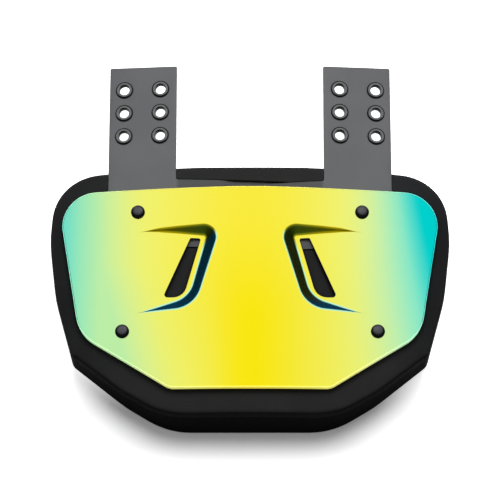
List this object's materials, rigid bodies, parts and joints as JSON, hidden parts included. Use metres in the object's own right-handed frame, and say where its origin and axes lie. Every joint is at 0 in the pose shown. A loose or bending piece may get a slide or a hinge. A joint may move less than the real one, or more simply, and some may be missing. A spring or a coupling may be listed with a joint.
{
  "type": "football back plate",
  "caption": "Back plate for shoulder pads: a curved plastic shell with two scooped slots on a two-layer foam pad, hung from two L-shaped plastic straps with eyelets.",
  "frame": {"origin": "middle of the pad's flat back face", "axes": "+X across the wearer's back, +Y towards the shoulders, +Z out of the back"},
  "size_m": [0.3294, 0.3052, 0.053],
  "materials": {
    "foam": "matte black closed-cell foam",
    "shell": "glossy colour-shift plastic, yellow in the middle to cyan at the sides",
    "strap": "semi-rigid grey plastic",
    "eyelet": "grey lacquered metal",
    "rivet": "gloss black dome"
  },
  "bodies": {
    "root": {"pad_back": "foam", "pad_front": "foam", "shell": "shell", "left_strap": "strap", "right_strap": "strap", "eyelet_left_1": "eyelet", "eyelet_left_2": "eyelet", "eyelet_left_3": "eyelet", "eyelet_left_4": "eyelet", "eyelet_left_5": "eyelet", "eyelet_left_6": "eyelet", "eyelet_right_1": "eyelet", "eyelet_right_2": "eyelet", "eyelet_right_3": "eyelet", "eyelet_right_4": "eyelet", "eyelet_right_5": "eyelet", "eyelet_right_6": "eyelet", "rivet_upper_left": "rivet", "rivet_upper_right": "rivet", "rivet_lower_left": "rivet", "rivet_lower_right": "rivet"}
  },
  "joints": []
}
